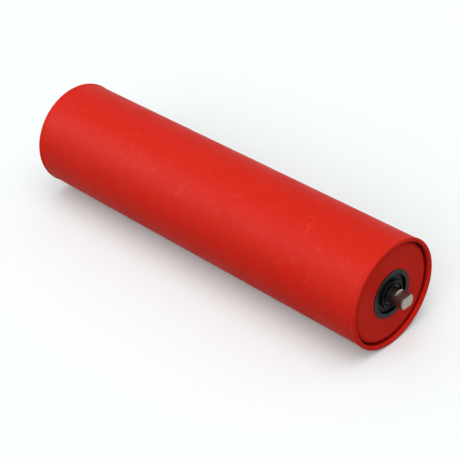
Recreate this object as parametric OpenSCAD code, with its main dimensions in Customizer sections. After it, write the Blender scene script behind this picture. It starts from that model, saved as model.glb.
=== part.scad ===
// Belt-conveyor roller: a steel tube on two ball bearings, turning round a fixed shaft.
// The axis of the roller is +Y and the origin is at its middle. Both ends are alike.
// Half-sections are drawn as [radius, depth], where depth runs from the tube's rim inwards.

/* [Tube] */
// Outside diameter of the tube
shell_d = 133; // [120:1:160]
// Length of the tube from rim to rim
shell_len = 530; // [250:5:1600]
// Wall thickness of the tube
shell_wall = 4; // [3:0.5:5]
// Height of the rolled bead above the tube, at each rim
bead_rise = 0.8; // [0.2:0.1:1]
// Depth of the shallow neck behind the bead
neck_depth = 0.2; // [0.1:0.1:0.4]
// Radius of the neck in section
neck_r = 6; // [4:0.5:12]

/* [Bearing housing] */
// Thickness of the pressed sheet
sheet_t = 3; // [2.5:0.5:4]
// Depth of the end disc below the rim
end_recess = 3.7; // [2.5:0.1:8]
// Length of the flange that is pressed in the tube
flange_len = 16; // [10:1:30]
// Outside radius of the bends at the mouth and at the cup's bottom
bend_r = 2.5; // [1.5:0.5:3]
// Inside radius of the wide bend from the end disc to the flange
flange_bend = 5; // [1:0.5:6]
// Radial step from the bearing seat out to the wider mouth
mouth_step = 2.1; // [1.4:0.1:3]
// Open gap round the shaft in the cup's bottom
bottom_gap = 6; // [4:0.5:8]

/* [Shaft] */
// Diameter of the shaft
shaft_d = 20; // [18:1:22]
// Distance from the rim to the shaft's end
shaft_reach = 19; // [16:1:40]
// Length of the two flats at each end
flat_len = 12; // [8:1:14]
// Distance across the two flats
across_flats = 14; // [12:0.5:17]
// Chamfer round the shaft's ends
shaft_chamfer = 1; // [0.5:0.25:1.5]

/* [Ball bearing] */
// Outside diameter of the bearing
bearing_d = 47; // [44:1:52]
// Width of the bearing
bearing_w = 14; // [12:1:16]
// Diameter of a ball
ball_d = 7.9; // [7:0.1:8.5]
// Number of balls in each bearing
ball_count = 8; // [6:1:9]
// Radial thickness of the cage
cage_t = 2.6; // [2:0.1:3]

/* [Seals] */
// Height of the outer seal ring's flange above the end disc
ring_t = 1.1; // [0.8:0.1:1.6]
// Width of that flange on the end disc, beyond the bend of the mouth
ring_overlap = 1.5; // [0.3:0.1:2]
// Wall thickness of the outer seal ring's sleeve
sleeve_t = 1.6; // [1.5:0.1:2]
// Thickness of the inner labyrinth's hub round the shaft
hub_t = 3.6; // [3:0.1:4]
// Free space between fins of the labyrinth
fin_gap = 0.9; // [0.6:0.1:1]
// Length of the labyrinth's fins
fin_reach = 7; // [5:0.5:12]
// Thickness of the labyrinth's two webs
web_t = 1.4; // [1:0.1:2]
// Open gap between the outer seal ring and the dust cover
cover_gap = 1.7; // [1.2:0.1:2]
// Thickness of the dust cover at its seat
cover_t = 2.8; // [2.4:0.1:3.2]
// Height of the dust cover's raised ring above its seat
rib_rise = 1.9; // [1:0.1:2.2]
// Width of the dust cover's raised ring
rib_w = 2.8; // [2:0.1:3]
// Depth of the dust cover's outer face below its seat
dish_drop = 2; // [0.4:0.1:2.1]
// Thickness of the seal behind the bearing
back_seal_t = 2; // [1.5:0.1:3]

/* [Circlip] */
// Thickness of the circlip
clip_t = 1.2; // [1:0.1:1.5]
// Height of the circlip's face above the outer seal ring's face
clip_rise = 0.4; // [0:0.1:1]
// Depth of the circlip's groove in the shaft
groove_depth = 0.5; // [0.3:0.1:0.8]
// Width of the circlip's band
clip_band = 2.6; // [2:0.1:2.8]
// Distance from the shaft's surface to the tips of the circlip's lugs
clip_lug = 4; // [3.6:0.1:4.2]
// Angle of the opening between the lugs
clip_opening = 44; // [30:2:60]

/* [Hidden] */

// Clearances: pressed seats, sliding seats on the shaft, rolling and running gaps
press_gap = 0.05;
slide_gap = 0.02;
ball_gap = 0.1;
pocket_gap = 0.25;
running_gap = 0.4;
lug_gap = 0.4;

// Small roundings and details
edge_r = 0.6;
rim_edge_r = 0.8;
lug_hole_d = 2;
lug_angle = 17;
cage_side = 1.3;
cage_horn = 3;
shoulder_share = 0.3;
fin_count = 4;

// How far a cutting shape runs past what it cuts
past = 1;

// Facets round a full circle: large turned shapes, middling arcs and small roundings
fine = 180;
medium = 96;
small = 48;

// Radii
shell_r = shell_d / 2;
bore_r = shell_r - shell_wall;
bead_r = shell_wall / 2;
bead_mid = shell_r + bead_rise - bead_r;
shaft_r = shaft_d / 2;
bearing_r = bearing_d / 2;
ball_r = ball_d / 2;
pitch_r = (shaft_r + bearing_r) / 2;
mouth_r = bearing_r + mouth_step;
ring_out_r = mouth_r + bend_r + ring_overlap;
ring_in_r = mouth_r - press_gap - sleeve_t;
hub_r = shaft_r + hub_t;
cover_r = ring_in_r - cover_gap;
rib_in_r = shaft_r + clip_lug + lug_gap;
rib_out_r = rib_in_r + rib_w;

// Depths below the rim: the tube's bead and neck, then the pieces from the end disc inwards
bead_end = bead_r + sqrt(pow(bead_r, 2) - pow(bead_r - bead_rise, 2));
neck_mid = bead_end + sqrt(pow(neck_r, 2) - pow(neck_r - neck_depth, 2));
disc_in = end_recess + sheet_t;
ring_face = end_recess - ring_t;
clip_face = ring_face - clip_rise;
cover_face = clip_face + clip_t;
cover_back = cover_face + cover_t;
bearing_face = cover_back + web_t + fin_gap + fin_reach + web_t;
bearing_mid = bearing_face + bearing_w / 2;
bearing_back = bearing_face + bearing_w;
cup_bottom = bearing_back + back_seal_t;

// Thickness of each of the labyrinth's fins
fin_t = (ring_in_r - hub_r - (fin_count + 1) * fin_gap) / fin_count;
shaft_half = shell_len / 2 + shaft_reach;

// Rectangle of a half-section, from radius r1 to r2 and from depth s1 to s2
module band(r1, r2, s1, s2) {
    translate([r1, s1])
        square([r2 - r1, s2 - s1]);
}

// What is cut away to round the corner at [r, s]; dr and ds (+1 or -1) point into the material
module corner(r, s, radius, dr, ds) {
    difference() {
        translate([min(r, r + dr * radius), min(s, s + ds * radius)])
            square(radius);
        translate([r + dr * radius, s + ds * radius])
            circle(r = radius, $fn = small);
    }
}

// Turns a half-section round the roller's axis
module turned() {
    rotate([-90, 0, 0])
        rotate_extrude($fn = fine)
            children();
}

// Puts what is drawn from the rim inwards at the front end, or turned round at the rear end
module at_end(rear) {
    rotate([0, 0, rear ? 180 : 0])
        translate([0, -shell_len / 2, 0])
            children();
}

// One half of the tube, from a rim to the middle: a rolled bead with a shallow neck behind it
module tube_half_section() {
    difference() {
        union() {
            band(bore_r, bead_mid, 0, shell_len / 2);
            band(bore_r, shell_r, bead_r, shell_len / 2);
            translate([bead_mid, bead_r])
                circle(r = bead_r, $fn = small);
        }
        translate([shell_r - neck_depth + neck_r, neck_mid])
            circle(r = neck_r, $fn = medium);
        corner(bore_r, 0, rim_edge_r, 1, 1);
    }
}

module tube() {
    color("#d8352a")
        turned() {
            translate([0, -shell_len / 2])
                tube_half_section();
            mirror([0, 1])
                translate([0, -shell_len / 2])
                    tube_half_section();
        }
}

// Pressed cup: flange in the tube, end disc, wide mouth, bearing seat and open bottom
module bearing_housing() {
    flange_r = bore_r - 2 * press_gap;
    seat_r = bearing_r + press_gap;
    color("#b5302a")
        turned()
            difference() {
                union() {
                    band(flange_r - sheet_t, flange_r, end_recess, disc_in + flange_len);
                    band(mouth_r, flange_r, end_recess, disc_in);
                    band(mouth_r, mouth_r + sheet_t, end_recess, bearing_face + sheet_t);
                    band(seat_r, mouth_r + sheet_t, bearing_face, bearing_face + sheet_t);
                    band(seat_r, seat_r + sheet_t, bearing_face, cup_bottom + sheet_t);
                    band(shaft_r + bottom_gap, seat_r + sheet_t, cup_bottom, cup_bottom + sheet_t);
                    corner(flange_r - sheet_t, disc_in, flange_bend, -1, 1);
                }
                corner(flange_r, end_recess, flange_bend + sheet_t, -1, 1);
                corner(mouth_r, end_recess, bend_r, 1, 1);
                corner(mouth_r + sheet_t, bearing_face + sheet_t, mouth_step - press_gap, -1, -1);
                corner(seat_r + sheet_t, cup_bottom + sheet_t, bend_r, -1, -1);
            }
}

// Bearing rings: a grooved band with rounded corners on the side of its seat
module race_half_section(r1, r2, seat_r, side) {
    difference() {
        band(r1, r2, bearing_face, bearing_back);
        translate([pitch_r, bearing_mid])
            circle(r = ball_r + ball_gap, $fn = medium);
        corner(seat_r, bearing_face, edge_r, side, 1);
        corner(seat_r, bearing_back, edge_r, side, -1);
    }
}

module outer_race() {
    color("#c9ccd0")
        turned()
            race_half_section(pitch_r + shoulder_share * ball_d, bearing_r, bearing_r, -1);
}

module inner_race() {
    color("#c9ccd0")
        turned()
            race_half_section(shaft_r + slide_gap, pitch_r - shoulder_share * ball_d, shaft_r + slide_gap, 1);
}

module ball_places() {
    for (i = [0 : ball_count - 1])
        rotate([0, i * 360 / ball_count, 0])
            translate([pitch_r, bearing_mid, 0])
                children();
}

module balls() {
    color("#dfe2e6")
        ball_places()
            sphere(r = ball_r, $fn = medium);
}

// Snap-in cage: a ring closed on its back, whose pockets open between horns on its front
module cage() {
    pocket_r = ball_r + pocket_gap;
    color("#e6dcc0")
        difference() {
            turned()
                band(pitch_r - cage_t / 2, pitch_r + cage_t / 2, bearing_mid - cage_horn,
                     bearing_mid + pocket_r + cage_side);
            ball_places()
                rotate([0, 90, 0])
                    cylinder(r = pocket_r, h = 2 * cage_t, center = true, $fn = medium);
        }
}

// Flat ring between the bearing and the cup's bottom
module back_seal() {
    color("#2b2d30")
        turned()
            band(shaft_r + running_gap, bearing_r, bearing_back, cup_bottom);
}

// Inside radius of fin number k of the labyrinth, counted from the hub outwards
function fin_r(k) = hub_r + fin_gap + k * (fin_t + fin_gap);

// Outer half: flange on the end disc, sleeve in the mouth, and fins that stand on an inner web
module labyrinth_outer() {
    sleeve_r = mouth_r - press_gap;
    web_face = bearing_face - web_t;
    color("#34383a")
        turned()
            difference() {
                union() {
                    band(ring_in_r, ring_out_r, ring_face, end_recess);
                    band(ring_in_r, sleeve_r, ring_face, bearing_face);
                    band(fin_r(0), sleeve_r, web_face, bearing_face);
                    for (k = [0, 2])
                        band(fin_r(k), fin_r(k) + fin_t, web_face - fin_reach, bearing_face);
                }
                corner(ring_out_r, ring_face, edge_r, -1, 1);
                corner(ring_in_r, ring_face, edge_r, 1, 1);
            }
}

// Inner half: hub on the shaft, disc, and fins that reach between those of the outer half
module labyrinth_inner() {
    color("#2b2d30")
        turned() {
            band(shaft_r + slide_gap, hub_r, cover_back, bearing_face);
            band(shaft_r + slide_gap, fin_r(3) + fin_t, cover_back, cover_back + web_t);
            for (k = [1, 3])
                band(fin_r(k), fin_r(k) + fin_t, cover_back, cover_back + web_t + fin_reach);
        }
}

// Moulded disc on the shaft: a seat for the circlip, a raised round ring and a lower outer face
module dust_cover() {
    color("#26282a")
        turned()
            difference() {
                union() {
                    band(shaft_r + slide_gap, rib_out_r, cover_face, cover_back);
                    band(shaft_r + slide_gap, cover_r, cover_face + dish_drop, cover_back);
                    band(rib_in_r, rib_out_r, cover_face - rib_rise + rib_w / 2, cover_back);
                    translate([(rib_in_r + rib_out_r) / 2, cover_face - rib_rise + rib_w / 2])
                        circle(r = rib_w / 2, $fn = small);
                }
                corner(cover_r, cover_face + dish_drop, edge_r, -1, 1);
            }
}

// Outline of the circlip: a band with two drilled lugs beside its opening, which points down
module clip_outline() {
    in_r = shaft_r - groove_depth + slide_gap;
    lug_r = shaft_r + clip_lug;
    half_open = clip_opening / 2;
    reach = 2 * lug_r;
    difference() {
        union() {
            circle(r = in_r + clip_band, $fn = fine);
            intersection() {
                circle(r = lug_r, $fn = fine);
                polygon([[0, 0], for (a = [-half_open - lug_angle, half_open + lug_angle])
                    reach * [sin(a), cos(a)]]);
            }
        }
        circle(r = in_r, $fn = fine);
        polygon([[0, 0], for (a = [-half_open, half_open]) reach * [sin(a), cos(a)]]);
        for (side = [-1, 1])
            rotate(side * (half_open + lug_angle / 2))
                translate([0, (in_r + lug_r) / 2 + groove_depth])
                    circle(d = lug_hole_d, $fn = small);
    }
}

module circlips() {
    color("#1e1f21")
        for (rear = [false, true])
            at_end(rear)
                translate([0, clip_face, 0])
                    rotate([-90, 0, 0])
                        linear_extrude(clip_t)
                            clip_outline();
}

module shaft() {
    cut_len = flat_len + past;
    color("#b9b4aa")
        difference() {
            turned()
                difference() {
                    band(0, shaft_r, -shaft_half, shaft_half);
                    for (m = [0, 1])
                        mirror([0, m])
                            shaft_end_cuts();
                }
            for (end = [-1, 1], side = [-1, 1])
                translate([0, end * (shaft_half + past - cut_len / 2), side * (across_flats + shaft_d) / 2])
                    cube([2 * shaft_d, cut_len, shaft_d], center = true);
        }
}

// Chamfer and circlip groove at one end of the shaft's half-section
module shaft_end_cuts() {
    groove_s = shell_len / 2 - clip_face - clip_t - slide_gap;
    band(shaft_r - groove_depth, shaft_r + past, groove_s, groove_s + clip_t + 2 * slide_gap);
    polygon([[shaft_r - shaft_chamfer, shaft_half], [shaft_r + past, shaft_half - shaft_chamfer - past],
             [shaft_r + past, shaft_half + past], [shaft_r - shaft_chamfer, shaft_half + past]]);
}

tube();
at_end(false) bearing_housing();  // front_bearing_housing
at_end(true) bearing_housing();  // rear_bearing_housing
at_end(false) outer_race();  // front_outer_race
at_end(true) outer_race();  // rear_outer_race
at_end(false) labyrinth_outer();  // front_labyrinth_outer
at_end(true) labyrinth_outer();  // rear_labyrinth_outer
at_end(false) back_seal();  // front_back_seal
at_end(true) back_seal();  // rear_back_seal
shaft();
at_end(false) inner_race();  // front_inner_race
at_end(true) inner_race();  // rear_inner_race
at_end(false) labyrinth_inner();  // front_labyrinth_inner
at_end(true) labyrinth_inner();  // rear_labyrinth_inner
at_end(false) dust_cover();  // front_dust_cover
at_end(true) dust_cover();  // rear_dust_cover
circlips();
at_end(false) cage();  // front_cage
at_end(true) cage();  // rear_cage
at_end(false) balls();  // front_balls
at_end(true) balls();  // rear_balls
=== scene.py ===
"""Belt-conveyor roller: the finishes and fine forms of its pieces, laid on the fixed frame.

A red painted tube turns on two sealed ball bearings round a bright steel shaft. A pressed housing sits in
each end of the tube and holds the bearing, a black labyrinth seal closes it, and a circlip holds the seal's
cover on the shaft. The roller's axis is Y and both ends are alike: the rear end is the front end turned
half a turn round Z. Sizes are in millimetres; meshes are in metres.
"""

import logging
import math
from collections.abc import Iterable, Sequence
from dataclasses import dataclass, field
from enum import Enum

import bmesh
import bpy
from mathutils import Euler, Matrix, Vector


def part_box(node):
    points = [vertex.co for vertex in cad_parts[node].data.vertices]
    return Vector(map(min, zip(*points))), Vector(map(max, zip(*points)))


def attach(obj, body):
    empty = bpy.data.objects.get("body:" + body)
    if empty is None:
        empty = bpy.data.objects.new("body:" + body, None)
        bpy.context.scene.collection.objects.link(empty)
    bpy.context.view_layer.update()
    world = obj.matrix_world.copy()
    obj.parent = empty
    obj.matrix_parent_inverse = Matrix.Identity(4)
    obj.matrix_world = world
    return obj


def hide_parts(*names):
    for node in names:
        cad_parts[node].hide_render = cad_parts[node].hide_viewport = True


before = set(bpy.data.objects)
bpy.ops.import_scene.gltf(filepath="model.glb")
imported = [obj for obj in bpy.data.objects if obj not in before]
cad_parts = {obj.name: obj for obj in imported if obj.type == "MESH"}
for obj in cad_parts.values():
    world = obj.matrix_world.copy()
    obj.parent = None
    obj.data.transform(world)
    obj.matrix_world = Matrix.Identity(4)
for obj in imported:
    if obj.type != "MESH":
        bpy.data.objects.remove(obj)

LOG = logging.getLogger("roller")
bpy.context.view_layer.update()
MM = 0.001
TURN = 2 * math.pi
AXIS = Vector((0, 1, 0))
WELD = 1e-7
# Edges that turn by more than this are shaded as sharp
SHARP = math.radians(32)
ARC_STEPS = 8
# How far from a long edge's ends its holding points stand, in millimetres
HOLD = 0.25
# Most of a noise's values lie between these
NOISE_LOW, NOISE_HIGH = 0.3, 0.7
# The colour mixer's sockets, which share their names with others and so go by number
MIX_FIRST, MIX_SECOND, MIX_RESULT = 6, 7, 2


class End(Enum):
    """The roller's two ends, each with the angle that turns a front piece to its place."""

    FRONT = 0.0
    REAR = math.pi

    @property
    def prefix(self) -> str:
        """The word that names of this end's nodes start with."""
        return self.name.lower()


class Machining(Enum):
    """How a steel surface was cut, which sets the way that its fine marks run."""

    DRAWN = "drawn"
    TURNED = "turned"
    MILLED = "milled"


# ---------------------------------------------------------------- materials


def linear(colour: str) -> tuple[float, float, float, float]:
    """Turns an sRGB hex colour into the linear values that shaders take.

    Args:
        colour: The colour as "#rrggbb".

    Returns:
        Red, green and blue from 0 to 1, and an alpha of 1.
    """
    coded = [int(colour[i:i + 2], 16) / 255 for i in (1, 3, 5)]
    return (*(c / 12.92 if c <= 0.04045 else ((c + 0.055) / 1.055) ** 2.4 for c in coded), 1.0)


def add_node(
    tree: bpy.types.NodeTree,
    kind: str,
    settings: dict[str, object] | None = None,
    inputs: dict[str | int, object] | None = None,
) -> bpy.types.Node:
    """Adds one node, sets it up and wires its inputs.

    Args:
        tree: The node tree that takes the node.
        kind: The node's type without the "ShaderNode" that all of them start with.
        settings: The node's own properties, by name.
        inputs: Input sockets by name or number; a socket as the value is linked, anything else is set.

    Returns:
        The new node.
    """
    node = tree.nodes.new("ShaderNode" + kind)
    for name, value in (settings or {}).items():
        setattr(node, name, value)
    for name, value in (inputs or {}).items():
        if isinstance(value, bpy.types.NodeSocket):
            tree.links.new(value, node.inputs[name])
        else:
            node.inputs[name].default_value = value
    return node


def per_metre(size: float) -> float:
    """The texture scale at which a noise or wave has details of this size in millimetres."""
    return 1 / (size * MM)


def add_noise(
    tree: bpy.types.NodeTree, place: bpy.types.NodeSocket, size: float, detail: float, **more: float
) -> bpy.types.NodeSocket:
    """Adds a noise.

    Args:
        tree: The node tree that takes it.
        place: Object coordinates, in metres.
        size: The size of its details, in millimetres.
        detail: How many finer layers it has.
        **more: Its other inputs, by name.

    Returns:
        The noise, from 0 to 1.
    """
    inputs = {"Vector": place, "Scale": per_metre(size), "Detail": detail, **more}
    return add_node(tree, "TexNoise", inputs=inputs).outputs["Fac"]


def mix_colours(
    tree: bpy.types.NodeTree, share: bpy.types.NodeSocket, first: object, second: object
) -> bpy.types.NodeSocket:
    """Adds a mix of two colours.

    Args:
        tree: The node tree that takes it.
        share: How much of the second colour shows.
        first: The first colour, as linear values or a socket.
        second: The second colour, as linear values or a socket.

    Returns:
        The mixed colour.
    """
    inputs = {"Factor": share, MIX_FIRST: first, MIX_SECOND: second}
    return add_node(tree, "Mix", {"data_type": "RGBA"}, inputs).outputs[MIX_RESULT]


@dataclass(frozen=True)
class Finish:
    """What every finish has: a name, its colour and how rough it is."""

    name: str
    colour: str
    roughness: float

    def wire(self, tree: bpy.types.NodeTree, shader: bpy.types.Node, place: bpy.types.NodeSocket) -> None:
        """Adds the finish's own nodes.

        Args:
            tree: The material's node tree.
            shader: The Principled shader that the nodes feed.
            place: Object coordinates, in metres.
        """
        raise NotImplementedError

    def spread_roughness(
        self, tree: bpy.types.NodeTree, share: bpy.types.NodeSocket, swing: float
    ) -> bpy.types.NodeSocket:
        """Adds a roughness that follows a noise.

        Args:
            tree: The material's node tree.
            share: The noise.
            swing: How far the roughness goes to each side of the finish's own.

        Returns:
            The roughness.
        """
        limits = {
            "Value": share,
            "From Min": NOISE_LOW,
            "From Max": NOISE_HIGH,
            "To Min": self.roughness - swing,
            "To Max": self.roughness + swing,
        }
        return add_node(tree, "MapRange", inputs=limits).outputs["Result"]

    def connect(
        self,
        tree: bpy.types.NodeTree,
        shader: bpy.types.Node,
        colour: bpy.types.NodeSocket,
        rough: bpy.types.NodeSocket,
        relief: tuple[bpy.types.NodeSocket, float, float],
    ) -> None:
        """Feeds the shader its colour, roughness and relief.

        Args:
            tree: The material's node tree.
            shader: The Principled shader.
            colour: The base colour.
            rough: The roughness.
            relief: The height's socket, how strongly it shows, and its depth in millimetres.
        """
        height, strength, depth = relief
        bump = add_node(tree, "Bump", inputs={"Height": height, "Strength": strength, "Distance": depth * MM})
        tree.links.new(colour, shader.inputs["Base Color"])
        tree.links.new(rough, shader.inputs["Roughness"])
        tree.links.new(bump.outputs["Normal"], shader.inputs["Normal"])

    def material(self) -> bpy.types.Material:
        """Makes the material, or gives the one made before.

        Returns:
            The finish as a Blender material.
        """
        made = bpy.data.materials.get(self.name)
        if made is not None:
            return made
        made = bpy.data.materials.new(self.name)
        made.use_nodes = True
        made.diffuse_color = linear(self.colour)
        tree = made.node_tree
        tree.nodes.clear()
        shader = add_node(
            tree, "BsdfPrincipled", inputs={"Base Color": linear(self.colour), "Roughness": self.roughness}
        )
        add_node(tree, "OutputMaterial", inputs={"Surface": shader.outputs["BSDF"]})
        self.wire(tree, shader, add_node(tree, "TexCoord").outputs["Object"])
        return made


@dataclass(frozen=True)
class SatinEnamel(Finish):
    """Sprayed satin enamel on steel: soft sheen, faint orange peel, and a coat that is a little cloudy."""

    cloud_colour: str = "#d0281a"
    dust_colour: str = "#e0604f"
    cloud_size: float = 34.0
    dust_size: float = 11.0
    peel_size: float = 2.6
    peel_height: float = 0.012
    gloss: float = 0.05
    dust_from: float = 0.56
    dust_full: float = 0.8
    dust_share: float = 0.3
    sheen_swing: float = 0.05

    def wire(self, tree: bpy.types.NodeTree, shader: bpy.types.Node, place: bpy.types.NodeSocket) -> None:
        """Adds the clouding, the dusty patches, the uneven sheen and the orange peel.

        Args:
            tree: The material's node tree.
            shader: The Principled shader that the nodes feed.
            place: Object coordinates, in metres.
        """
        cloud = add_noise(tree, place, self.cloud_size, 4.0)
        dust = add_noise(tree, place, self.dust_size, 6.0, Roughness=0.7)
        limits = {"Value": dust, "From Min": self.dust_from, "From Max": self.dust_full, "To Max": self.dust_share}
        patches = add_node(tree, "MapRange", inputs=limits).outputs["Result"]
        coat = mix_colours(tree, cloud, linear(self.colour), linear(self.cloud_colour))
        dusty = mix_colours(tree, patches, coat, linear(self.dust_colour))
        sheen = self.spread_roughness(tree, cloud, self.sheen_swing)
        peel = add_noise(tree, place, self.peel_size, 2.0)
        self.connect(tree, shader, dusty, sheen, (peel, 0.5, self.peel_height))
        shader.inputs["Specular IOR Level"].default_value = self.gloss


@dataclass(frozen=True)
class MouldedNylon(Finish):
    """Injection-moulded nylon: a fine spark-eroded grain, with faint flow marks in the colour."""

    flow_colour: str = "#3a3e40"
    gloss: float = 0.1
    grain_size: float = 0.7
    grain_height: float = 0.02
    flow_size: float = 9.0
    rough_swing: float = 0.06

    def wire(self, tree: bpy.types.NodeTree, shader: bpy.types.Node, place: bpy.types.NodeSocket) -> None:
        """Adds the flow marks and the grain.

        Args:
            tree: The material's node tree.
            shader: The Principled shader that the nodes feed.
            place: Object coordinates, in metres.
        """
        flow = add_noise(tree, place, self.flow_size, 3.0, Distortion=0.6)
        colour = mix_colours(tree, flow, linear(self.colour), linear(self.flow_colour))
        grain = add_noise(tree, place, self.grain_size, 3.0)
        rough = self.spread_roughness(tree, grain, self.rough_swing)
        self.connect(tree, shader, colour, rough, (grain, 0.6, self.grain_height))
        shader.inputs["Specular IOR Level"].default_value = self.gloss


@dataclass(frozen=True)
class CutSteel(Finish):
    """Bare steel with the fine marks of how it was made: drawn along, turned round or milled across."""

    machining: Machining = Machining.DRAWN
    dull_colour: str = "#8b877f"
    mark_pitch: float = 0.5
    mark_height: float = 0.01
    stain_size: float = 6.0
    die_line_stretch: float = 60.0
    least_rough: float = -0.06
    most_rough: float = 0.14

    def marks(self, tree: bpy.types.NodeTree, place: bpy.types.NodeSocket) -> bpy.types.NodeSocket:
        """Adds the pattern of the tool's marks.

        Args:
            tree: The material's node tree.
            place: Object coordinates, in metres.

        Returns:
            The pattern's height, from 0 to 1.
        """
        scale = per_metre(self.mark_pitch)
        if self.machining is Machining.DRAWN:
            # Die lines run along the bar, so the noise is drawn out along Y
            drawn = (scale, scale / self.die_line_stretch, scale)
            along = add_node(tree, "Mapping", inputs={"Vector": place, "Scale": drawn})
            lines = add_node(
                tree, "TexNoise", inputs={"Vector": along.outputs["Vector"], "Scale": 1.0, "Detail": 3.0}
            )
            return lines.outputs["Fac"]
        rings = self.machining is Machining.TURNED
        # A wave's bands stand at 20 to the unit of its scale divided by a full turn
        wave = add_node(
            tree,
            "TexWave",
            {
                "wave_type": "RINGS" if rings else "BANDS",
                "rings_direction": "Y",
                "bands_direction": "Y",
                "wave_profile": "SIN",
            },
            {"Vector": place, "Scale": scale * TURN / 20, "Distortion": 0.4, "Detail": 2.0},
        )
        return wave.outputs["Fac"]

    def wire(self, tree: bpy.types.NodeTree, shader: bpy.types.Node, place: bpy.types.NodeSocket) -> None:
        """Adds the tool marks and the dull patches where the oil film is thicker.

        Args:
            tree: The material's node tree.
            shader: The Principled shader that the nodes feed.
            place: Object coordinates, in metres.
        """
        height = self.marks(tree, place)
        stain = add_noise(tree, place, self.stain_size, 4.0)
        both = add_node(tree, "Math", {"operation": "MULTIPLY"}, {0: height, 1: stain}).outputs["Value"]
        colour = mix_colours(tree, both, linear(self.colour), linear(self.dull_colour))
        limits = {
            "Value": both,
            "To Min": self.roughness + self.least_rough,
            "To Max": self.roughness + self.most_rough,
        }
        rough = add_node(tree, "MapRange", inputs=limits).outputs["Result"]
        self.connect(tree, shader, colour, rough, (height, 0.5, self.mark_height))
        shader.inputs["Metallic"].default_value = 1.0


# Satin red enamel, sprayed over the tube and the housings as one
ENAMEL = SatinEnamel("satin_red_enamel", "#d82214", 0.5)
# The same enamel made darker, which paints the shade in the corner of each end's recess on the tube's bore
PAINTED_SHADE_ENAMEL = SatinEnamel("red_enamel_painted_shade", "#98130b", 0.6, "#84100a", "#a0382a", gloss=0.02)
# Mild steel as it comes from the mill, dark grey with scale, where the spray doesn't reach
MILL_STEEL = CutSteel("mill_finish_steel", "#6a6763", 0.5, dull_colour="#46423e", mark_pitch=1.6, stain_size=14.0)
# Cold-drawn bright bar, oiled
DRAWN_BAR = CutSteel("bright_drawn_steel", "#756e67", 0.32, dull_colour="#544d46")
# The bar's ends, faced in the lathe
FACED_STEEL = CutSteel("lathe_faced_steel", "#a49d92", 0.34, Machining.TURNED, mark_pitch=0.45)
# The flats, cut with a milling cutter and dulled by a film of oil
MILLED_STEEL = CutSteel("milled_steel", "#857e76", 0.36, Machining.MILLED, "#70695f", 0.8, 0.0015)
# The shoulders that the cutter's side leaves behind the flats: matt side-milled steel, its colour made bright to
# paint the light that they catch
SHOULDER_STEEL_PAINTED_HIGHLIGHT = CutSteel("side_milled_steel_painted_highlight", "#dcd6cc", 0.55, dull_colour="#c4beb4", mark_pitch=0.8)
# The shaft's finishes in the order of its faces' material numbers
SHAFT_FINISHES = (DRAWN_BAR, FACED_STEEL, MILLED_STEEL, SHOULDER_STEEL_PAINTED_HIGHLIGHT)
# Races and balls, ground and lapped to a mirror
GROUND_STEEL = CutSteel("ground_bearing_steel", "#c4c6c9", 0.12, Machining.TURNED, "#b4b6ba", 0.3, 0.002)
# Circlips, spring steel blackened in hot oxide
BLACK_OXIDE = CutSteel("black_oxide_spring_steel", "#1a1b1d", 0.4, dull_colour="#101011", mark_pitch=0.6)
# The seal rings' faces, black nylon with glass fibre
SEAL_NYLON = MouldedNylon("black_moulded_nylon", "#181a1b", 0.3, flow_colour="#1f2122", gloss=0.1)
# Covers and back seals, the same nylon from a smoother mould; on the rings' deeper faces it paints the shade along
# their walls
COVER_AND_SHADE_NYLON = MouldedNylon("black_nylon_cover_and_painted_shade", "#0e0f10", 0.25, flow_colour="#131415", gloss=0.05)
# Ball cages, undyed nylon
CAGE_NYLON = MouldedNylon("natural_moulded_nylon", "#dccfae", 0.48, flow_colour="#d2c4a0")


# ---------------------------------------------------------------- meshes


@dataclass(frozen=True)
class Corner:
    """One corner of a half-section: its radius, its depth below the tube's rim, and its rounding."""

    radius: float
    depth: float
    rounding: float = 0.0


def rim_place() -> float:
    """The front rim's place along Y, in metres."""
    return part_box("tube")[0].y


def half_section(corners: Sequence[Corner], closed: bool = True) -> bmesh.types.BMesh:
    """Draws a half-section as edges in the plane of the axis and X, with its corners rounded.

    Args:
        corners: The section's corners in order.
        closed: Whether the last corner joins the first.

    Returns:
        A bmesh that holds only the section's edges.
    """
    bm = bmesh.new()
    rim = rim_place()
    verts = [bm.verts.new((c.radius * MM, rim + c.depth * MM, 0)) for c in corners]
    pairs = list(zip(verts, verts[1:]))
    if closed:
        pairs.append((verts[-1], verts[0]))
    for pair in pairs:
        bm.edges.new(pair)
    for vert, corner in zip(verts, corners):
        if corner.rounding:
            bmesh.ops.bevel(
                bm,
                geom=[vert],
                offset=corner.rounding * MM,
                offset_type="OFFSET",
                segments=ARC_STEPS,
                profile=0.5,
                affect="VERTICES",
                clamp_overlap=False,
                material=-1,
            )
    hold_ends(bm)
    return bm


def hold_ends(bm: bmesh.types.BMesh) -> None:
    """Puts a point close to both ends of each long edge, so that flats stay flat when shaded."""
    for edge in list(bm.edges):
        length = edge.calc_length()
        if length > 4 * HOLD * MM:
            share = HOLD * MM / length
            rest, _ = bmesh.utils.edge_split(edge, edge.verts[0], share)
            far = rest if rest.calc_length() > edge.calc_length() else edge
            bmesh.utils.edge_split(far, far.verts[1], share)


def turn(bm: bmesh.types.BMesh, steps: int) -> None:
    """Spins a half-section all the way round the roller's axis and closes it.

    Args:
        bm: The section, which becomes the turned shape.
        steps: How many steps the full turn takes.
    """
    bmesh.ops.spin(
        bm,
        geom=bm.verts[:] + bm.edges[:],
        cent=(0, 0, 0),
        axis=AXIS,
        angle=TURN,
        steps=steps,
        use_merge=True,
    )
    bmesh.ops.remove_doubles(bm, verts=bm.verts, dist=WELD)
    bmesh.ops.recalc_face_normals(bm, faces=bm.faces)


def place_at(bm: bmesh.types.BMesh, end: End) -> None:
    """Turns a mesh made at the front to the end where it belongs."""
    bmesh.ops.rotate(bm, verts=bm.verts, cent=(0, 0, 0), matrix=Matrix.Rotation(end.value, 3, "Z"))


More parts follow.
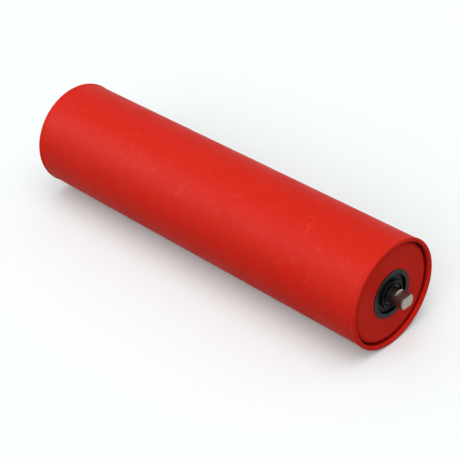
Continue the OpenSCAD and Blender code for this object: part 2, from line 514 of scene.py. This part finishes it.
def in_fixed_order(bm: bmesh.types.BMesh) -> bmesh.types.BMesh:
    """Lists a mesh's points and faces anew by their place, so that each run gives them in the same order.

    Args:
        bm: The mesh, which is used up.

    Returns:
        The same mesh in its fixed order.
    """
    settled = bmesh.new()
    for rank, vert in enumerate(sorted(bm.verts, key=lambda v: [round(c / WELD) for c in v.co])):
        vert.index = rank
        settled.verts.new(vert.co)
    settled.verts.ensure_lookup_table()
    rings = []
    for face in bm.faces:
        ring = [vert.index for vert in face.verts]
        first = ring.index(min(ring))
        rings.append((ring[first:] + ring[:first], face.material_index))
    for ring, material_index in sorted(rings):
        settled.faces.new([settled.verts[rank] for rank in ring]).material_index = material_index
    settled.normal_update()
    bm.free()
    return settled


def finish_piece(
    name: str,
    bm: bmesh.types.BMesh,
    finishes: Sequence[Finish],
    body: str,
    nodes: Iterable[str],
) -> bpy.types.Object:
    """Makes a scene object from a mesh, shades it and ties it to the frame.

    Args:
        name: The piece's name.
        bm: Its mesh, which is used up.
        finishes: Its finishes; a face's material number picks one.
        body: The moving body that it rides on.
        nodes: The CAD nodes that it stands for.

    Returns:
        The finished object.
    """
    bm = in_fixed_order(bm)
    for face in bm.faces:
        face.smooth = True
    for edge in bm.edges:
        edge.smooth = edge.calc_face_angle(0.0) < SHARP
    mesh = bpy.data.meshes.new(name)
    bm.to_mesh(mesh)
    bm.free()
    piece = bpy.data.objects.new(name, mesh)
    bpy.context.scene.collection.objects.link(piece)
    for finish in finishes:
        mesh.materials.append(finish.material())
    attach(piece, body)
    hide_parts(*nodes)
    LOG.info("%s: %d faces, rides on %s", name, len(mesh.polygons), body)
    return piece


# ---------------------------------------------------------------- the roller's pieces


@dataclass
class Tube:
    """The rolling tube: drawn steel with a rolled bead and a shallow neck at each rim."""

    radius: float = 66.5
    wall: float = 4.0
    bead_back: float = 3.2
    neck_depth: float = 0.2
    neck_place: float = 5.1
    neck_end: float = 6.7
    rim_rounding: float = 0.8
    bead_rounding: float = 1.0
    neck_rounding: float = 0.9
    margin: float = 0.01
    # From this depth in the bore a darker enamel paints the shade of the recess's corner
    painted_shade_depth: float = 4.0
    paint_reach: float = 9.0
    steps: int = 256

    def corners(self) -> list[Corner]:
        """Works out one rim's corners, from the paint's edge in the bore, round the bead, to the plain tube.

        Returns:
            The corners in order.
        """
        low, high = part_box("tube")
        bead = min(-low.x, high.x, -low.z, high.z) / MM - self.margin
        bore = self.radius - self.wall
        return [
            Corner(bore, self.paint_reach),
            Corner(bore, self.painted_shade_depth),
            Corner(bore, 0, self.rim_rounding),
            Corner(bead, 0, self.wall / 2),
            Corner(bead, self.bead_back, self.bead_rounding),
            Corner(self.radius - self.neck_depth, self.neck_place, self.neck_rounding),
            Corner(self.radius, self.neck_end, self.bead_rounding),
        ]

    def build(self) -> bpy.types.Object:
        """Turns the tube; in its bore a darker enamel paints the shade of the recess's corner, and beyond the reach
        of the spray it is bare.

        Returns:
            The tube's piece.
        """
        low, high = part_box("tube")
        length = (high.y - low.y) / MM
        near = self.corners()
        far = [Corner(c.radius, length - c.depth, c.rounding) for c in reversed(near)]
        bm = half_section(near + far)
        turn(bm, self.steps)
        bore = near[0].radius * MM
        shade_from, bare_from = (high.y - depth * MM for depth in (self.painted_shade_depth, self.paint_reach))
        # Bore faces past the shade's start and short of the spray's reach take the darker enamel, a painted shade
        # in the recess's corner
        for face in bm.faces:
            middle = face.calc_center_median()
            if math.hypot(middle.x, middle.z) < bore + WELD:
                face.material_index = int(abs(middle.y) < shade_from) + int(abs(middle.y) < bare_from)
        return finish_piece(
            "painted_tube", bm, [ENAMEL, PAINTED_SHADE_ENAMEL, MILL_STEEL], "shell", ["tube"]
        )


@dataclass
class EndHousing:
    """The pressed steel cup in one end: flange, end disc, wide mouth, bearing seat and open bottom."""

    end: End
    sheet: float = 3.0
    recess: float = 3.7
    flange_radius: float = 62.4
    flange_length: float = 16.0
    mouth_radius: float = 25.6
    seat_radius: float = 23.55
    seat_depth: float = 16.9
    bottom_depth: float = 32.9
    hole_radius: float = 16.0
    bend: float = 2.5
    flange_bend: float = 5.0
    step_bend: float = 1.6
    rim_break: float = 0.4
    edge_break: float = 0.3
    paint_edge: float = 0.1
    steps: int = 224

    def corners(self) -> list[Corner]:
        """Works out the cup's section, with both sides of the sheet.

        Returns:
            The corners in order.
        """
        back = self.recess + self.sheet
        flange_in = self.flange_radius - self.sheet
        mouth_out = self.mouth_radius + self.sheet
        seat_out = self.seat_radius + self.sheet
        step_back = self.seat_depth + self.sheet
        bottom_back = self.bottom_depth + self.sheet
        inner_bend = self.bend / 3
        return [
            Corner(self.flange_radius, self.recess, self.flange_bend + self.sheet),
            Corner(self.flange_radius, back + self.flange_length, self.rim_break),
            Corner(flange_in, back + self.flange_length, self.rim_break),
            Corner(flange_in, back, self.flange_bend),
            Corner(mouth_out, back, inner_bend),
            Corner(mouth_out, step_back, self.step_bend),
            Corner(seat_out, step_back, self.rim_break),
            Corner(seat_out, bottom_back, self.bend),
            Corner(self.hole_radius, bottom_back, self.edge_break),
            Corner(self.hole_radius, self.bottom_depth, self.edge_break),
            Corner(self.seat_radius, self.bottom_depth, self.edge_break),
            Corner(self.seat_radius, self.seat_depth, self.edge_break),
            Corner(self.mouth_radius, self.seat_depth, self.edge_break),
            Corner(self.mouth_radius, self.recess, self.bend),
        ]

    def build(self) -> bpy.types.Object:
        """Turns the cup; paint covers its open side and the inside stays bare.

        Returns:
            The housing's piece.
        """
        bm = half_section(self.corners())
        turn(bm, self.steps)
        paint_line = rim_place() + (self.recess + self.sheet - self.paint_edge) * MM
        for face in bm.faces:
            face.material_index = int(face.calc_center_median().y > paint_line)
        place_at(bm, self.end)
        name = f"{self.end.prefix}_pressed_housing"
        return finish_piece(
            name, bm, [ENAMEL, MILL_STEEL], "shell", [f"{self.end.prefix}_bearing_housing"]
        )


@dataclass
class SealSet:
    """The parts of one end's labyrinth seal that show: the ring in the housing and the cover on the shaft."""

    end: End
    ring_face: float = 2.6
    disc_face: float = 3.7
    ring_inner: float = 23.95
    ring_outer: float = 29.6
    sleeve_outer: float = 25.55
    sleeve_end: float = 16.9
    dish: float = 0.15
    dish_margin: float = 1.1
    dish_slope: float = 0.5
    web: float = 1.4
    fin_start: float = 8.5
    fin_radii: tuple[tuple[float, float], ...] = ((14.5, 15.96), (19.23, 20.68))
    cover_inner: float = 10.02
    cover_outer: float = 22.25
    cover_seat: float = 3.4
    cover_face: float = 5.4
    cover_back: float = 6.2
    rib_inner: float = 14.4
    rib_outer: float = 17.2
    rib_top: float = 1.5
    steps: int = 192

    def ring_corners(self) -> list[Corner]:
        """Works out the outer ring: dished flange, sleeve, web and two fins.

        Returns:
            The corners in order.
        """
        web_face = self.sleeve_end - self.web
        dish_in = self.ring_inner + self.dish_margin
        dish_out = self.ring_outer - self.dish_margin
        dished = self.ring_face + self.dish
        corners = [
            Corner(self.ring_inner, self.ring_face, 0.45),
            Corner(dish_in, self.ring_face, 0.3),
            Corner(dish_in + self.dish_slope, dished, 0.3),
            Corner(dish_out - self.dish_slope, dished, 0.3),
            Corner(dish_out, self.ring_face, 0.3),
            Corner(self.ring_outer, self.ring_face, 0.5),
            Corner(self.ring_outer, self.disc_face, 0.1),
            Corner(self.sleeve_outer, self.disc_face),
            Corner(self.sleeve_outer, self.sleeve_end, 0.3),
            Corner(self.fin_radii[0][0], self.sleeve_end, 0.2),
        ]
        for inner, outer in self.fin_radii:
            if inner > self.fin_radii[0][0]:
                corners.append(Corner(inner, web_face, 0.2))
            corners.append(Corner(inner, self.fin_start, 0.3))
            corners.append(Corner(outer, self.fin_start, 0.3))
            corners.append(Corner(outer, web_face, 0.2))
        corners.append(Corner(self.ring_inner, web_face, 0.2))
        return corners

    def cover_corners(self) -> list[Corner]:
        """Works out the cover: the circlip's seat, the raised round rib and the lower outer face.

        Returns:
            The corners in order.
        """
        # The rib's top is all but a full half round
        crown = (self.rib_outer - self.rib_inner) / 2 - 0.01
        return [
            Corner(self.cover_inner, self.cover_seat, 0.2),
            Corner(self.rib_inner, self.cover_seat, 0.4),
            Corner(self.rib_inner, self.rib_top, crown),
            Corner(self.rib_outer, self.rib_top, crown),
            Corner(self.rib_outer, self.cover_face, 0.6),
            Corner(self.cover_outer, self.cover_face, 0.45),
            Corner(self.cover_outer, self.cover_back, 0.15),
            Corner(self.cover_inner, self.cover_back, 0.2),
        ]

    def build(self) -> list[bpy.types.Object]:
        """Turns the ring and the cover; the ring's deeper faces take the cover's darker nylon, which paints the
        shade along the ring's walls.

        Returns:
            Both pieces.
        """
        prefix = self.end.prefix
        ring = half_section(self.ring_corners())
        turn(ring, self.steps)
        ring_shade_line = rim_place() + (self.ring_face + 2 * self.dish) * MM
        # The ring's faces behind its front take the darker nylon, which paints the shade along its walls
        for face in ring.faces:
            face.material_index = int(face.calc_center_median().y > ring_shade_line)
        place_at(ring, self.end)
        cover = half_section(self.cover_corners())
        turn(cover, self.steps)
        place_at(cover, self.end)
        return [
            finish_piece(
                f"{prefix}_seal_ring",
                ring,
                [SEAL_NYLON, COVER_AND_SHADE_NYLON],
                "shell",
                [f"{prefix}_labyrinth_outer"],
            ),
            finish_piece(
                f"{prefix}_seal_cover", cover, [COVER_AND_SHADE_NYLON], "shaft", [f"{prefix}_dust_cover"]
            ),
        ]


@dataclass
class Circlips:
    """The two retaining rings: an open band with a drilled lug on each side of its opening, below the shaft."""

    inner: float = 9.52
    band: float = 12.12
    lug: float = 14.0
    opening: float = 44.0
    lug_span: float = 17.0
    hole: float = 2.0
    hole_radius: float = 12.26
    face: float = 2.2
    thickness: float = 1.2
    edge: float = 0.1
    hole_inset: float = 0.3
    band_steps: int = 96
    lug_steps: int = 6

    def at_angle(self, radius: float, degrees: float) -> Vector:
        """A point in the ring's plane, its angle counted from straight down.

        Args:
            radius: The distance from the axis, in millimetres.
            degrees: The angle from straight down, towards +X.

        Returns:
            The point, in metres.
        """
        angle = math.radians(degrees)
        place = rim_place() + self.face * MM
        return Vector((radius * MM * math.sin(angle), place, -radius * MM * math.cos(angle)))

    def sweep(self, bm: bmesh.types.BMesh, edges: Sequence[bmesh.types.BMEdge], degrees: float, steps: int) -> dict:
        """Sweeps edges round the axis.

        Args:
            bm: The mesh.
            edges: The edges to sweep.
            degrees: How far, where more than 0 is away from the start towards +X.
            steps: How many steps.

        Returns:
            What the operator made.
        """
        verts = dict.fromkeys(vert for edge in edges for vert in edge.verts)
        return bmesh.ops.spin(
            bm,
            geom=[*verts, *edges],
            cent=(0, 0, 0),
            axis=-AXIS,
            angle=math.radians(degrees),
            steps=steps,
        )

    def drill(self, bm: bmesh.types.BMesh, faces: Sequence[bmesh.types.BMFace], centre: Vector) -> None:
        """Joins a lug's faces into one and opens a round hole in it.

        Args:
            bm: The mesh.
            faces: The lug's faces.
            centre: The hole's centre.
        """
        lug = bmesh.ops.dissolve_faces(bm, faces=faces)["region"][0]
        bmesh.ops.inset_individual(bm, faces=[lug], thickness=self.hole_inset * MM)
        for vert in lug.verts:
            away = vert.co - centre
            vert.co = centre + away.normalized() * self.hole / 2 * MM
        bmesh.ops.delete(bm, geom=[lug], context="FACES_ONLY")

    def outline(self) -> bmesh.types.BMesh:
        """Draws the ring flat: the band first, then a lug at each of its ends.

        Returns:
            The ring as flat faces.
        """
        bm = bmesh.new()
        lug_start = self.opening / 2 + self.lug_span
        first = [bm.verts.new(self.at_angle(radius, lug_start)) for radius in (self.inner, self.band)]
        start = bm.edges.new(first)
        swept = self.sweep(bm, [start], 360 - 2 * lug_start, self.band_steps)
        last = [item for item in swept["geom_last"] if isinstance(item, bmesh.types.BMEdge)][0]
        for edge, side in ((start, 1), (last, -1)):
            outer = max(edge.verts, key=lambda vert: vert.co.length_squared)
            tip = bm.verts.new(self.at_angle(self.lug, side * lug_start))
            before = set(bm.faces)
            self.sweep(bm, [edge, bm.edges.new((outer, tip))], -side * self.lug_span, self.lug_steps)
            middle = side * (self.opening + self.lug_span) / 2
            lug_faces = [face for face in bm.faces if face not in before]
            self.drill(bm, lug_faces, self.at_angle(self.hole_radius, middle))
        return bm

    def build(self) -> bpy.types.Object:
        """Gives the flat ring its thickness, softens its edges and sets one at each end.

        Returns:
            Both rings as one piece.
        """
        bm = self.outline()
        grown = bmesh.ops.extrude_face_region(bm, geom=bm.faces[:])["geom"]
        moved = [item for item in grown if isinstance(item, bmesh.types.BMVert)]
        bmesh.ops.translate(bm, verts=moved, vec=AXIS * self.thickness * MM)
        bmesh.ops.recalc_face_normals(bm, faces=bm.faces)
        bmesh.ops.bevel(
            bm,
            geom=[edge for edge in bm.edges if edge.calc_face_angle(0.0) > SHARP],
            offset=self.edge * MM,
            offset_type="OFFSET",
            segments=2,
            profile=0.5,
            affect="EDGES",
            clamp_overlap=True,
            material=-1,
        )
        twin = bmesh.ops.duplicate(bm, geom=bm.faces[:])["geom"]
        bmesh.ops.rotate(
            bm,
            verts=[item for item in twin if isinstance(item, bmesh.types.BMVert)],
            cent=(0, 0, 0),
            matrix=Matrix.Rotation(End.REAR.value, 3, "Z"),
        )
        return finish_piece("retaining_rings", bm, [BLACK_OXIDE], "shaft", ["circlips"])


@dataclass
class Shaft:
    """The fixed shaft: a bright round bar with a circlip's groove and two milled flats at each end."""

    across_flats: float = 14.0
    flat_length: float = 12.0
    chamfer: float = 1.0
    groove_start: float = 2.18
    groove_end: float = 3.42
    groove_depth: float = 0.5
    burr: float = 0.25
    end_break: float = 0.15
    groove_break: float = 0.08
    face_band: float = 0.1
    steps: int = 160
    shoulder: float = field(init=False)

    def __post_init__(self) -> None:
        """Works out how far the shoulders stand from the middle, in metres."""
        self.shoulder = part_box("shaft")[1].y - self.flat_length * MM

    def corners(self) -> list[Corner]:
        """Works out half of the bar's section, from the front end's centre to the groove's far side.

        Returns:
            The corners in order.
        """
        low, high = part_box("shaft")
        radius = high.x / MM
        front = (low.y - rim_place()) / MM
        neck = radius - self.groove_depth
        return [
            Corner(0, front),
            Corner(radius - self.chamfer, front, self.end_break),
            Corner(radius, front + self.chamfer, self.end_break),
            Corner(radius, front + self.flat_length),
            Corner(radius, self.groove_start, self.groove_break),
            Corner(neck, self.groove_start),
            Corner(neck, self.groove_end),
            Corner(radius, self.groove_end, self.groove_break),
        ]

    def mill(self, bm: bmesh.types.BMesh, end: int, side: int) -> None:
        """Cuts one flat: the bar beyond the shoulder is sliced off, and the flat and its shoulder are closed.

        Args:
            bm: The turned bar.
            end: -1 at the front, 1 at the rear.
            side: 1 for the upper flat, -1 for the lower one.
        """
        level = side * self.across_flats / 2 * MM
        stub_faces = [f for f in bm.faces if end * f.calc_center_median().y > self.shoulder]
        stub_edges = dict.fromkeys(edge for face in stub_faces for edge in face.edges)
        past_shoulder = self.shoulder + WELD
        stub_verts = dict.fromkeys(v for face in stub_faces for v in face.verts if end * v.co.y > past_shoulder)
        bmesh.ops.bisect_plane(
            bm,
            geom=[*stub_faces, *stub_edges, *stub_verts],
            dist=WELD,
            plane_co=(0, 0, level),
            plane_no=(0, 0, side),
            clear_outer=True,
        )
        rims = [edge for edge in bm.edges if edge.is_boundary]
        on_flat = [e for e in rims if all(abs(v.co.z - level) < 10 * WELD for v in e.verts)]
        on_shoulder = [e for e in rims if e not in on_flat]
        touching = {v for e in on_flat for v in e.verts} & {v for e in on_shoulder for v in e.verts}
        heel = bm.edges.new(sorted(touching, key=lambda vert: vert.co.x))
        # The shoulders take the steel made bright, which paints the highlight that they catch
        for loop, finish in ((on_flat, MILLED_STEEL), (on_shoulder, SHOULDER_STEEL_PAINTED_HIGHLIGHT)):
            bmesh.ops.edgeloop_fill(bm, edges=[*loop, heel], mat_nr=SHAFT_FINISHES.index(finish))

    def soften(self, bm: bmesh.types.BMesh) -> None:
        """Takes the burr off the outer edges of the milled faces, which leaves a thin bright line."""
        edges = [
            edge
            for edge in bm.edges
            if len({face.material_index for face in edge.link_faces}) == 2
            and edge.calc_face_angle_signed(0.0) > SHARP
        ]
        bmesh.ops.bevel(
            bm,
            geom=edges,
            offset=self.burr * MM,
            offset_type="OFFSET",
            segments=2,
            profile=0.5,
            affect="EDGES",
            clamp_overlap=True,
            material=SHAFT_FINISHES.index(FACED_STEEL),
        )

    def build(self) -> bpy.types.Object:
        """Turns the bar, marks its faced ends and mills its four flats.

        Returns:
            The shaft's piece.
        """
        low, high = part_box("shaft")
        near = self.corners()
        length = (-2 * rim_place()) / MM
        far = [Corner(c.radius, length - c.depth, c.rounding) for c in reversed(near)]
        bm = half_section(near + far, closed=False)
        turn(bm, self.steps)
        for face in bm.faces:
            face.material_index = int(abs(face.calc_center_median().y) > high.y - self.face_band * MM)
        for end in (-1, 1):
            for side in (-1, 1):
                self.mill(bm, end, side)
        bmesh.ops.recalc_face_normals(bm, faces=bm.faces)
        self.soften(bm)
        return finish_piece("steel_shaft", bm, SHAFT_FINISHES, "shaft", ["shaft"])


@dataclass
class BallBearing:
    """What one end hides behind its seal: races, balls, cage, back seal and inner labyrinth."""

    end: End
    finishes: dict[str, Finish] = field(
        default_factory=lambda: {
            "outer_race": GROUND_STEEL,
            "inner_race": GROUND_STEEL,
            "balls": GROUND_STEEL,
            "cage": CAGE_NYLON,
            "back_seal": COVER_AND_SHADE_NYLON,
            "labyrinth_inner": SEAL_NYLON,
        }
    )

    def dress(self) -> None:
        """Gives each of this end's own nodes its finish."""
        for word, finish in self.finishes.items():
            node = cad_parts[f"{self.end.prefix}_{word}"]
            for slot in node.material_slots:
                slot.material = finish.material()
            LOG.info("%s: dressed in %s", node.name, finish.name)


# ---------------------------------------------------------------- the studio


@dataclass(frozen=True)
class Softbox:
    """A wide far lamp: the way its light comes from, its level on a surface that faces it, and its spread.

    A lamp of sheen alone is seen in the paint's gloss but adds no light of its own.
    """

    name: str
    towards: tuple[float, float, float]
    level: float
    spread: float
    sheen_only: bool = False

    def build(self) -> None:
        """Hangs the lamp; its level of 1 would show a colour as it is written."""
        lamp = bpy.data.lights.new(self.name, "SUN")
        lamp.energy = self.level * math.pi
        lamp.angle = math.radians(self.spread)
        holder = bpy.data.objects.new(self.name, lamp)
        holder.rotation_euler = Vector(self.towards).to_track_quat("Z", "Y").to_euler()
        holder.visible_diffuse = not self.sheen_only
        bpy.context.scene.collection.objects.link(holder)


@dataclass
class Studio:
    """A plain white sweep with soft light, and the camera."""

    ambient: float = 0.5
    lamps: tuple[Softbox, ...] = (
        Softbox("overhead_softbox", (-0.1, -0.2, 1.0), 0.3, 50.0),
        Softbox("left_softbox", (-0.77, -0.34, 0.56), 0.38, 50.0),
        Softbox("rear_softbox", (-0.573, 0.608, 0.55), 0.95, 40.0, sheen_only=True),
    )
    floor_colour: str = "#faffff"
    floor_bounce: str = "#5c5c5c"
    floor_glow: float = 0.02
    floor_radius: float = 6.0
    camera_place: tuple[float, float, float] = (-0.93441, -1.0329, 0.97234)
    camera_turn: tuple[float, float, float] = (53.992, 3.878, -45.25)
    focal_length: float = 111.005
    sensor_width: float = 36.0

    def seen_directly(self, tree: bpy.types.NodeTree) -> bpy.types.NodeSocket:
        """Adds nodes that tell rays which show the backdrop from those that only light the roller.

        Args:
            tree: The node tree of the world or of the floor.

        Returns:
            A value of 1 for camera, glossy and transmission rays, and 0 for the others.
        """
        path = add_node(tree, "LightPath")
        some = add_node(
            tree,
            "Math",
            {"operation": "MAXIMUM"},
            {0: path.outputs["Is Camera Ray"], 1: path.outputs["Is Glossy Ray"]},
        )
        any_of = add_node(
            tree,
            "Math",
            {"operation": "MAXIMUM"},
            {0: some.outputs["Value"], 1: path.outputs["Is Transmission Ray"]},
        )
        return any_of.outputs["Value"]

    def build_world(self) -> None:
        """Makes the pale surroundings: white where they are seen, softer as a light."""
        world = bpy.data.worlds.new("white_studio")
        world.use_nodes = True
        bpy.context.scene.world = world
        tree = world.node_tree
        tree.nodes.clear()
        light = add_node(tree, "Background", inputs={"Color": linear("#ffffff"), "Strength": self.ambient})
        white = add_node(tree, "Background", inputs={"Color": linear("#ffffff"), "Strength": 1.0})
        mix = add_node(
            tree,
            "MixShader",
            inputs={0: self.seen_directly(tree), 1: light.outputs["Background"], 2: white.outputs["Background"]},
        )
        add_node(tree, "OutputWorld", inputs={"Surface": mix.outputs["Shader"]})

    def floor_material(self) -> bpy.types.Material:
        """Makes the sweep's matt paper, which shows as white outside the roller's shadow.

        Returns:
            The floor's material.
        """
        paper = bpy.data.materials.new("matt_white_sweep")
        paper.use_nodes = True
        tree = paper.node_tree
        tree.nodes.clear()
        seen = self.seen_directly(tree)
        paint = mix_colours(tree, seen, linear(self.floor_bounce), linear(self.floor_colour))
        matt = add_node(tree, "BsdfDiffuse", inputs={"Color": paint})
        glow = add_node(tree, "Emission", inputs={"Color": linear("#ffffff")})
        level = add_node(tree, "Math", {"operation": "MULTIPLY"}, {0: seen, 1: self.floor_glow})
        tree.links.new(level.outputs["Value"], glow.inputs["Strength"])
        both = add_node(tree, "AddShader", inputs={0: matt.outputs["BSDF"], 1: glow.outputs["Emission"]})
        add_node(tree, "OutputMaterial", inputs={"Surface": both.outputs["Shader"]})
        return paper

    def build_floor(self) -> None:
        """Lays the floor under the tube's lowest line."""
        bm = bmesh.new()
        bmesh.ops.create_circle(bm, cap_ends=True, segments=96, radius=self.floor_radius)
        bmesh.ops.translate(bm, verts=bm.verts, vec=(0, 0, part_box("tube")[0].z))
        mesh = bpy.data.meshes.new("studio_floor")
        bm.to_mesh(mesh)
        bm.free()
        floor = bpy.data.objects.new("studio_floor", mesh)
        mesh.materials.append(self.floor_material())
        bpy.context.scene.collection.objects.link(floor)

    def build_camera(self) -> None:
        """Sets the camera up, looking down along the roller from its front end."""
        lens = bpy.data.cameras.new("camera")
        lens.lens = self.focal_length
        lens.sensor_width = self.sensor_width
        camera = bpy.data.objects.new("camera", lens)
        camera.location = self.camera_place
        camera.rotation_euler = Euler([math.radians(angle) for angle in self.camera_turn])
        bpy.context.scene.collection.objects.link(camera)
        bpy.context.scene.camera = camera

    def build(self) -> None:
        """Builds the whole studio and sets plain colours."""
        self.build_world()
        self.build_floor()
        for lamp in self.lamps:
            lamp.build()
        self.build_camera()
        bpy.context.scene.view_settings.view_transform = "Standard"
        LOG.info("studio: %d lamps, floor and camera", len(self.lamps))


def main() -> None:
    """Builds the roller's sub-assemblies in order, then the studio."""
    logging.basicConfig(level=logging.INFO, format="%(name)s: %(message)s")
    Tube().build()
    for end in End:
        EndHousing(end).build()
        SealSet(end).build()
        BallBearing(end).dress()
    Circlips().build()
    Shaft().build()
    Studio().build()


if __name__ == "__main__":
    main()
